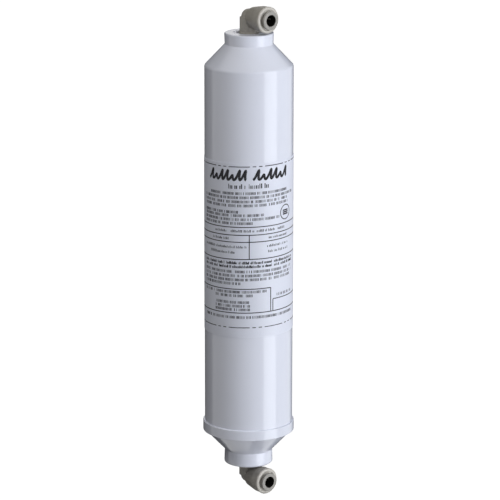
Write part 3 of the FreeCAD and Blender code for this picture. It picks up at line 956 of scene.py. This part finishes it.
        caps = TextStyle(1.55, 0.66, 0.30, 0.16, 11, 0.0)
        small = TextStyle(1.45, 0.62, 0.27, 0.16, 23, 0.55)
        bold = TextStyle(1.6, 0.62, 0.36, 0.15, 31, 0.6)
        title = TextStyle(2.8, 0.95, 0.42, 0.08, 47, 0.7)
        wide = 31.0
        return {
            "caps": (caps, [row(-25, 25, 37.1), row(-wide, wide, 34.7), row(-wide, 26, 32.3),
                            row(-wide, 26, 30.0), row(-wide, -6.5, 26.3), row(-wide, 8.5, 24.3),
                            row(-wide, 19.5, 22.0), row(-wide, 2.0, 19.7),
                            row(-wide, wide, -8.5), row(-wide, wide, -10.9),
                            row(-wide, 28, -13.2), row(-wide, -5.0, -15.5),
                            row(-wide, 10.2, -20.4), row(-21, 2.0, -22.6), row(-21, 0.0, -26.5),
                            row(-21, 0.5, -28.7), row(-21, 0.5, -30.8), row(-wide, wide, -35.3),
                            row(17.5, 30, -23.4)]),
            "small": (small, [row(-21, 23, 15.3), row(-23, -11.5, 10.9), row(12, 25, 10.9),
                              row(-wide, -1.5, 6.0), row(11, 26, 6.0), row(-25, -8.5, 2.8),
                              row(11, 26, 2.8)]),
            "bold": (bold, [row(-wide, wide, -3.3), row(-wide, wide, -5.5)]),
            "title": (title, [row(-11.8, -2.2, 41.2), row(0.2, 11.4, 41.2)]),
        }

    def print_mesh(self, wardrobe: Wardrobe) -> bpy.types.Mesh:
        """All the ink as one mesh."""
        common = {"Barrel Radius": self.outer_r * MM, "Centre Angle": self.centre_angle,
                  "Tilt": math.radians(self.print_tilt), "Rise": self.print_rise * MM,
                  "Ink Thickness": self.ink_thickness * MM,
                  "Ink": wardrobe.material(FinishName.INK)}
        thin = self.border(52.5, self.half_turn - 5) + self.border(-41.4, self.half_turn - 5)
        thin += self.rules(38.0) + self.mark(24.2, 23.7)
        heading = [self.scribble(-26.3, -1.5, 6.4, 44.9, 7, 0.30),
                   self.scribble(2.4, 24.5, 6.4, 44.9, 6, 0.30)]
        lines = rule_tree()
        step = 0.7 * MM
        meshes = [
            lines.run(self.flat_object(thin), {**common, "Line Width": self.rule_w * MM, "Step": step}),
            lines.run(self.flat_object(heading), {**common, "Line Width": 1.45 * MM,
                                                  "Step": 0.3 * MM}),
        ]
        text = text_tree()
        for style, strokes in self.text_lines().values():
            meshes.append(text.run(self.flat_object(strokes), {
                **common, "Pitch": style.pitch * MM, "Stroke Width": style.stroke_w * MM,
                "Letter Height": style.letter_h * MM, "Blank Share": style.blank_share,
                "Low Share": style.low_share, "Seed": style.seed}))
        bm = bmesh.new()
        for mesh in meshes:
            bm.from_mesh(mesh)
        joined = bpy.data.meshes.new("label_print")
        bm.to_mesh(joined)
        bm.free()
        return joined

    def build(self, wardrobe: Wardrobe) -> None:
        """Build and dress the label and its print."""
        sheet = new_object("label_sheet", self.sheet_mesh())
        smooth(sheet.data)
        wardrobe.dress(sheet, FinishName.LABEL)
        finish_piece(sheet, "root", ["label_wrap"])
        ink = new_object("label_print", self.print_mesh(wardrobe))
        wardrobe.dress(ink, FinishName.INK)
        finish_piece(ink, "root")


# ------------------------------------------------------------------------------ elbows
@dataclass
class PushInElbow:
    """One push-in elbow: moulding, retaining cap and collet. Sizes in millimetres."""

    end: PortEnd
    hex_r: float = 5.5
    hex_drop: float = 9.4
    back_r: float = 4.45
    barrel_start: float = 3.5
    flare_end: float = 12.0
    barrel_front: float = 16.3
    barrel_back_r: float = 5.9
    waterway_r: float = 2.3
    tube_stop: float = 3.0
    socket_r: float = 3.25
    gland_start: float = 7.4
    gland_r: float = 5.05
    cap_bore_start: float = 11.3
    cap_bore_r: float = 6.35
    thread_start: float = 9.9
    thread_pitch: float = 1.41
    thread_turns: int = 6
    thread_crest_r: float = 6.35
    thread_root_r: float = 5.6
    thread_pilot: float = 0.8
    slot_start: float = 4.1
    slot_w: float = 0.8
    slot_h: float = 2.4
    slot_top: float = 2.5
    slot_inner: float = 2.9
    voxel: float = 0.2
    collet_bore_r: float = 3.3
    collet_r: float = 4.2
    collet_tip: float = 11.2
    collet_flange_t: float = 1.5
    collet_head_r: float = 4.9
    collet_head_t: float = 1.1
    collet_head_ramp: float = 1.0
    collet_slot_w: float = 1.0
    collet_slot_end: float = 15.4
    collet_press: float = 1.3
    groove_r: float = 4.34
    groove_back: float = 11.71
    groove_front: float = 12.09
    throat_gap: float = 0.12
    press_gap: float = 0.05
    cam_r: float = 5.2
    cam_start: float = 12.6
    cam_end: float = 14.1
    recess_r: float = 5.75

    def __post_init__(self) -> None:
        """Read the port's place and the outside sizes from the frame."""
        low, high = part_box(self.node("collet"))
        cap_low, cap_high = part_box(self.node("retaining_cap"))
        self.port_z = (low.z + high.z) / 2 / MM
        self.collet_face = -low.y / MM
        self.flange_r = high.x / MM
        self.ring_front = -cap_low.y / MM
        self.ring_r = cap_high.x / MM
        self.barrel_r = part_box(self.node("elbow_body"))[1].x / MM

    def node(self, piece: str) -> str:
        """The CAD node's name of one of this elbow's pieces."""
        return f"{self.end.value}_{piece}"

    def placement(self) -> Matrix:
        """From the elbow's own frame, stem down, to its place on the cartridge."""
        flip = Matrix.Rotation(math.pi if self.end is PortEnd.OUTLET else 0.0, 4, "Y")
        return Matrix.Translation((0, 0, self.port_z * MM)) @ flip

    def along_port(self) -> Matrix:
        """From a shape turned about +Z to one that lies along the port."""
        return Matrix.Rotation(math.radians(90), 4, "X")

    def turned(self, name: str, corners: Sequence[Corner], along: bool, segments: int = 96,
               ) -> bpy.types.Object:
        """A turned solid as an object in the elbow's own frame."""
        mesh = turned_mesh(name, corners, segments)
        if along:
            mesh.transform(self.along_port())
        return new_object(name, mesh)

    def block(self, low: Vector, high: Vector) -> bpy.types.Object:
        """A plain box between two corners, in millimetres, used as a cutter."""
        bm = bmesh.new()
        bmesh.ops.create_cube(bm, size=1.0)
        mesh = bpy.data.meshes.new("cutter")
        bm.to_mesh(mesh)
        bm.free()
        size = (high - low) * MM
        mesh.transform(Matrix.Translation((low + high) / 2 * MM) @ Matrix.Diagonal((*size, 1)))
        return new_object("cutter", mesh)

    def hex_stem(self) -> bpy.types.Object:
        """Hexagonal stem up to the port's axis, one corner towards the port."""
        bm = bmesh.new()
        bmesh.ops.create_cone(bm, cap_ends=True, segments=6, radius1=self.hex_r * MM,
                              radius2=self.hex_r * MM, depth=self.hex_drop * MM)
        mesh = bpy.data.meshes.new("stem")
        bm.to_mesh(mesh)
        bm.free()
        corner_angle = math.atan2(mesh.vertices[0].co.y, mesh.vertices[0].co.x)
        mesh.transform(Matrix.Translation((0, 0, -self.hex_drop / 2 * MM))
                       @ Matrix.Rotation(-math.pi / 2 - corner_angle, 4, "Z"))
        return new_object("stem", mesh)

    def thread(self) -> bpy.types.Object:
        """Male thread as ridges."""
        corners = [Corner(0, -self.hex_drop + 0.5), Corner(self.thread_root_r, -self.hex_drop + 0.5)]
        for turn in range(self.thread_turns):
            top = -(self.thread_start + turn * self.thread_pitch)
            corners.append(Corner(self.thread_root_r, top))
            corners.append(Corner(self.thread_crest_r, top - 0.42 * self.thread_pitch))
            corners.append(Corner(self.thread_crest_r, top - 0.58 * self.thread_pitch))
        low = -(self.thread_start + self.thread_turns * self.thread_pitch)
        corners += [Corner(self.thread_root_r, low), Corner(self.thread_root_r, low - self.thread_pilot),
                    Corner(0, low - self.thread_pilot)]
        return self.turned("thread", corners, False)

    def round_back(self) -> bpy.types.Object:
        """Ball and short neck of the elbow's bend."""
        r = self.back_r
        steps = 20
        corners = [Corner(0, -r)]
        corners += [Corner(r * math.sin(math.pi / 2 * k / steps), -r * math.cos(math.pi / 2 * k / steps))
                    for k in range(1, steps + 1)]
        corners += [Corner(r, self.barrel_start + 1), Corner(0, self.barrel_start + 1)]
        return self.turned("round_back", corners, True)

    def port_barrel(self) -> bpy.types.Object:
        """Flared barrel round the collet."""
        return self.turned("port_barrel", [
            Corner(0, self.barrel_start),
            Corner(self.barrel_back_r, self.barrel_start, 0.9),
            Corner(self.barrel_r, self.flare_end, 6.0),
            Corner(self.barrel_r, self.barrel_front, 0.35),
            Corner(0, self.barrel_front),
        ], True, 128)

    def cavity(self) -> list[bpy.types.Object]:
        """Cutters for the waterway, socket, gland, cap bore and side pockets."""
        beyond = self.barrel_front + 1
        port = self.turned("port_cavity", [
            Corner(0, 0), Corner(self.waterway_r, 0), Corner(self.waterway_r, self.tube_stop),
            Corner(self.socket_r, self.tube_stop), Corner(self.socket_r, self.gland_start),
            Corner(self.gland_r, self.gland_start), Corner(self.gland_r, self.cap_bore_start),
            Corner(self.cap_bore_r, self.cap_bore_start), Corner(self.cap_bore_r, beyond),
            Corner(0, beyond)], True)
        stem = self.turned("stem_bore", [Corner(0, -30), Corner(self.waterway_r, -30),
                                         Corner(self.waterway_r, 0), Corner(0, 0)], False)
        cutters = [port, stem]
        for side in (-1, 1):
            inner, outer = side * self.slot_inner, side * (self.barrel_back_r + 2)
            low = Vector((min(inner, outer), -self.slot_start - self.slot_w,
                          -self.slot_top - self.slot_h))
            high = Vector((max(inner, outer), -self.slot_start, -self.slot_top))
            cutters.append(self.block(low, high))
        return cutters

    def elbow_object(self) -> bpy.types.Object:
        """The moulding: exact union and cuts, then a fine remesh that softens its edges."""
        body = self.hex_stem()
        body.name = self.node("elbow_moulding")
        boolean(body, [self.thread(), self.round_back(), self.port_barrel()], "UNION")
        boolean(body, self.cavity(), "DIFFERENCE")
        remesh = body.modifiers.new("softened", "REMESH")
        remesh.mode = "VOXEL"
        remesh.voxel_size = self.voxel * MM
        relax = body.modifiers.new("relaxed", "SMOOTH")
        relax.factor = 0.5
        relax.iterations = 4
        mesh = settled_mesh(body)
        body.modifiers.clear()
        body.data = mesh
        mesh.transform(self.placement())
        mesh.shade_smooth()
        return body

    def cap_object(self) -> bpy.types.Object:
        """Retaining cap: rounded front ring, throat and cam."""
        throat = self.collet_r + self.throat_gap
        recess = self.collet_face - self.collet_flange_t - self.collet_press - self.press_gap
        back = self.barrel_front + 0.05
        piece = self.turned(self.node("retaining_ring"), [
            Corner(self.cam_r, self.cap_bore_start + 0.1),
            Corner(self.cap_bore_r - 0.05, self.cap_bore_start + 0.1),
            Corner(self.cap_bore_r - 0.05, back),
            Corner(self.ring_r, back, 0.25),
            Corner(self.ring_r, self.ring_front, 1.2),
            Corner(self.recess_r, self.ring_front, 0.3),
            Corner(self.recess_r, recess),
            Corner(throat, recess, 0.2),
            Corner(throat, self.cam_end),
            Corner(self.cam_r, self.cam_start),
        ], True, 160)
        piece.data.transform(self.placement())
        return piece

    def collet_object(self) -> bpy.types.Object:
        """Collet with its four fingers parted by cross cuts."""
        flange_back = self.collet_face - self.collet_flange_t
        head_front = self.collet_tip + self.collet_head_t
        piece = self.turned(self.node("push_collet"), [
            Corner(self.collet_bore_r, self.collet_tip, 0.1),
            Corner(self.collet_head_r, self.collet_tip, 0.2),
            Corner(self.collet_head_r, head_front, 0.2),
            Corner(self.collet_r, head_front + self.collet_head_ramp, 0.2),
            Corner(self.collet_r, flange_back, 0.1),
            Corner(self.flange_r, flange_back, 0.15),
            Corner(self.flange_r, self.collet_face, 0.4),
            Corner(self.collet_bore_r, self.collet_face, 0.15),
            Corner(self.collet_bore_r, self.groove_front),
            Corner(self.groove_r, self.groove_front),
            Corner(self.groove_r, self.groove_back),
            Corner(self.collet_bore_r, self.groove_back),
        ], True, 160)
        reach, half, back = self.collet_head_r + 1, self.collet_slot_w / 2, self.collet_tip - 1
        slots = [
            self.block(Vector((-reach, -self.collet_slot_end, -half)), Vector((reach, -back, half))),
            self.block(Vector((-half, -self.collet_slot_end, -reach)), Vector((half, -back, reach))),
        ]
        boolean(piece, slots, "DIFFERENCE")
        piece.data.transform(self.placement())
        return piece

    def in_bore(self, centre: Vector) -> bool:
        """Whether a point in metres lies in the port's bore, behind the collet's rounded mouth."""
        depth = -centre.y / MM
        off_axis = math.hypot(centre.x, centre.z - self.port_z * MM) / MM
        return off_axis < self.collet_bore_r + 0.06 and 0.5 < depth < self.collet_face - 0.1

    def build(self, wardrobe: Wardrobe) -> None:
        """Build and dress the elbow's visible pieces."""
        elbow = self.elbow_object()
        wardrobe.dress(elbow, FinishName.FITTING)
        # painted shade: the moulding's bore faces get near-black in place of its grey
        paint_bore_shade(elbow, wardrobe.material(FinishName.PAINTED_SHADE_BORE), self.in_bore)
        finish_piece(elbow, "root", [self.node("elbow_body")])
        ring = self.cap_object()
        smooth(ring.data)
        wardrobe.dress(ring, FinishName.FITTING_RING)
        finish_piece(ring, "root", [self.node("retaining_cap")])
        collet = self.collet_object()
        smooth(collet.data)
        wardrobe.dress(collet, FinishName.COLLET)
        # painted shade: the collet's bore faces get near-black in place of its grey
        paint_bore_shade(collet, wardrobe.material(FinishName.PAINTED_SHADE_BORE), self.in_bore)
        finish_piece(collet, self.node("collet"), [self.node("collet")])


# ------------------------------------------------------------------------------ studio
@dataclass(frozen=True)
class SoftLamp:
    """A rectangular lamp that looks at the object. Its azimuth is measured from the camera's."""

    name: str
    azimuth: float
    elevation: float
    distance: float
    size: tuple[float, float]
    power: float
    colour: Colour
    glossy: bool = False


LAMPS = (
    SoftLamp("key", 58, 6, 1.2, (0.80, 1.9), 16.0, (0.93, 0.96, 1.0), glossy=True),
    SoftLamp("fill", 8, 25, 1.7, (0.8, 1.0), 6.0, (0.97, 0.98, 1.0)),
    SoftLamp("left_top", -75, 55, 1.3, (0.6, 0.6), 4.5, (1.0, 0.99, 0.95)),
    SoftLamp("back", 180, 30, 1.8, (1.0, 1.0), 9.0, (1.0, 1.0, 1.0)),
)
# dark cards: name, azimuth from the camera's, width in metres
CARDS = (("left_card", -140, 0.68), ("right_card", 160, 0.40))


@dataclass
class Studio:
    """Camera, lamps, white surroundings and floor."""

    azimuth: float = -38.5
    elevation: float = 13.98
    distance: float = 1.7757
    lens: float = 222.2
    aside: float = 0.72 * MM
    roll: float = 0.09
    floor_z: float = -1.3
    surround: float = 0.06
    card_distance: float = 0.55

    def direction(self, azimuth: float, elevation: float) -> Vector:
        """Unit vector from the object towards a viewing direction in degrees."""
        a, e = math.radians(azimuth), math.radians(elevation)
        return Vector((math.sin(a) * math.cos(e), -math.cos(a) * math.cos(e), math.sin(e)))

    def camera(self) -> None:
        """Place the camera."""
        data = bpy.data.cameras.new("camera")
        data.lens = self.lens
        data.sensor_width = 36.0
        data.clip_end = 50.0
        camera = bpy.data.objects.new("camera", data)
        bpy.context.scene.collection.objects.link(camera)
        back = self.direction(self.azimuth, self.elevation)
        right = Vector((-back.y, back.x, 0)).normalized()
        turn = (-back).to_track_quat("-Z", "Y").to_matrix().to_4x4()
        roll = Matrix.Rotation(math.radians(self.roll), 4, "Z")
        place = Matrix.Translation(back * self.distance + right * self.aside)
        camera.matrix_world = place @ turn @ roll
        bpy.context.scene.camera = camera

    def lamp(self, lamp: SoftLamp) -> None:
        """Add a lamp.

        Args:
            lamp: its place, size and light.
        """
        data = bpy.data.lights.new(lamp.name, "AREA")
        data.shape = "RECTANGLE"
        data.size, data.size_y = lamp.size
        data.energy = lamp.power
        data.color = lamp.colour
        made = bpy.data.objects.new(lamp.name, data)
        bpy.context.scene.collection.objects.link(made)
        back = self.direction(self.azimuth + lamp.azimuth, lamp.elevation)
        turn = (-back).to_track_quat("-Z", "Y").to_matrix().to_4x4()
        made.matrix_world = Matrix.Translation(back * lamp.distance) @ turn
        made.visible_camera = False
        made.visible_glossy = lamp.glossy

    def dark_card(self, name: str, azimuth: float, width: float) -> None:
        """Add a dark card that only reflections see, to draw the edges of glossy surfaces."""
        back = self.direction(azimuth, 0)
        bm = bmesh.new()
        bmesh.ops.create_grid(bm, x_segments=1, y_segments=1, size=0.5)
        mesh = bpy.data.meshes.new(name)
        bm.to_mesh(mesh)
        bm.free()
        turn = (-back).to_track_quat("-Z", "Y").to_matrix().to_4x4()
        mesh.transform(Matrix.Translation(back * self.card_distance) @ turn
                       @ Matrix.Diagonal((width, 1.4, 1, 1)))
        card = new_object(name, mesh)
        material = bpy.data.materials.new(name)
        material.use_nodes = True
        shader = material.node_tree.nodes["Principled BSDF"]
        shader.inputs["Base Color"].default_value = (0.02, 0.02, 0.02, 1)
        shader.inputs["Roughness"].default_value = 1.0
        mesh.materials.append(material)
        for ray in ("camera", "diffuse", "shadow", "transmission", "volume_scatter"):
            setattr(card, f"visible_{ray}", False)

    def seen_or_mirrored(self, board: NodeBoard) -> bpy.types.NodeSocket:
        """1 for rays from the camera, a mirror or glass, 0 for light on surfaces."""
        rays = board.add("ShaderNodeLightPath")
        first = board.add("ShaderNodeMath", {0: rays.outputs["Is Camera Ray"],
                                             1: rays.outputs["Is Glossy Ray"]}, operation="MAXIMUM")
        both = board.add("ShaderNodeMath", {0: first.outputs[0],
                                            1: rays.outputs["Is Transmission Ray"]},
                         operation="MAXIMUM")
        return both.outputs[0]

    def world(self) -> None:
        """White surroundings for the camera and mirrors, plain soft light for the rest."""
        world = bpy.data.worlds.new("surround")
        world.use_nodes = True
        bpy.context.scene.world = world
        board = NodeBoard(world.node_tree)
        plain = world.node_tree.nodes["Background"]
        plain.inputs["Color"].default_value = (1.0, 0.99, 0.97, 1)
        plain.inputs["Strength"].default_value = self.surround
        white = board.add("ShaderNodeBackground", {"Strength": 1.0, "Color": (1, 1, 1, 1)})
        mix = board.add("ShaderNodeMixShader", {0: self.seen_or_mirrored(board),
                                                1: plain.outputs[0], 2: white.outputs[0]})
        board.tree.links.new(mix.outputs[0], world.node_tree.nodes["World Output"].inputs[0])

    def floor(self) -> None:
        """Pale floor well below the hanging cartridge, which keeps its shadow."""
        bm = bmesh.new()
        bmesh.ops.create_grid(bm, x_segments=1, y_segments=1, size=12.0)
        mesh = bpy.data.meshes.new("floor")
        bm.to_mesh(mesh)
        bm.free()
        mesh.transform(Matrix.Translation((0, 0, self.floor_z)))
        floor = new_object("floor", mesh)
        material = bpy.data.materials.new("pale_floor")
        material.use_nodes = True
        board = NodeBoard(material.node_tree)
        shader = material.node_tree.nodes["Principled BSDF"]
        shader.inputs["Base Color"].default_value = (0.45, 0.45, 0.45, 1)
        shader.inputs["Roughness"].default_value = 0.9
        white = board.add("ShaderNodeEmission", {"Color": (1, 1, 1, 1), "Strength": 1.0})
        both = board.add("ShaderNodeAddShader", {0: shader.outputs[0], 1: white.outputs[0]})
        mix = board.add("ShaderNodeMixShader", {0: self.seen_or_mirrored(board),
                                                1: shader.outputs[0], 2: both.outputs[0]})
        output = material.node_tree.nodes["Material Output"]
        board.tree.links.new(mix.outputs[0], output.inputs["Surface"])
        mesh.materials.append(material)

    def build(self) -> None:
        """Set the stage."""
        bpy.context.scene.view_settings.view_transform = "Standard"
        self.camera()
        self.world()
        self.floor()
        for lamp in LAMPS:
            self.lamp(lamp)
        for name, azimuth, width in CARDS:
            self.dark_card(name, self.azimuth + azimuth, width)


def main() -> None:
    """Build the stage, then every piece in order."""
    logging.basicConfig(level=logging.INFO, format="%(name)s: %(message)s")
    Studio().build()
    wardrobe = Wardrobe()
    wardrobe.dress_cad_nodes()
    Housing().build(wardrobe)
    Label().build(wardrobe)
    for end in PortEnd:
        PushInElbow(end).build(wardrobe)


if __name__ == "__main__":
    main()
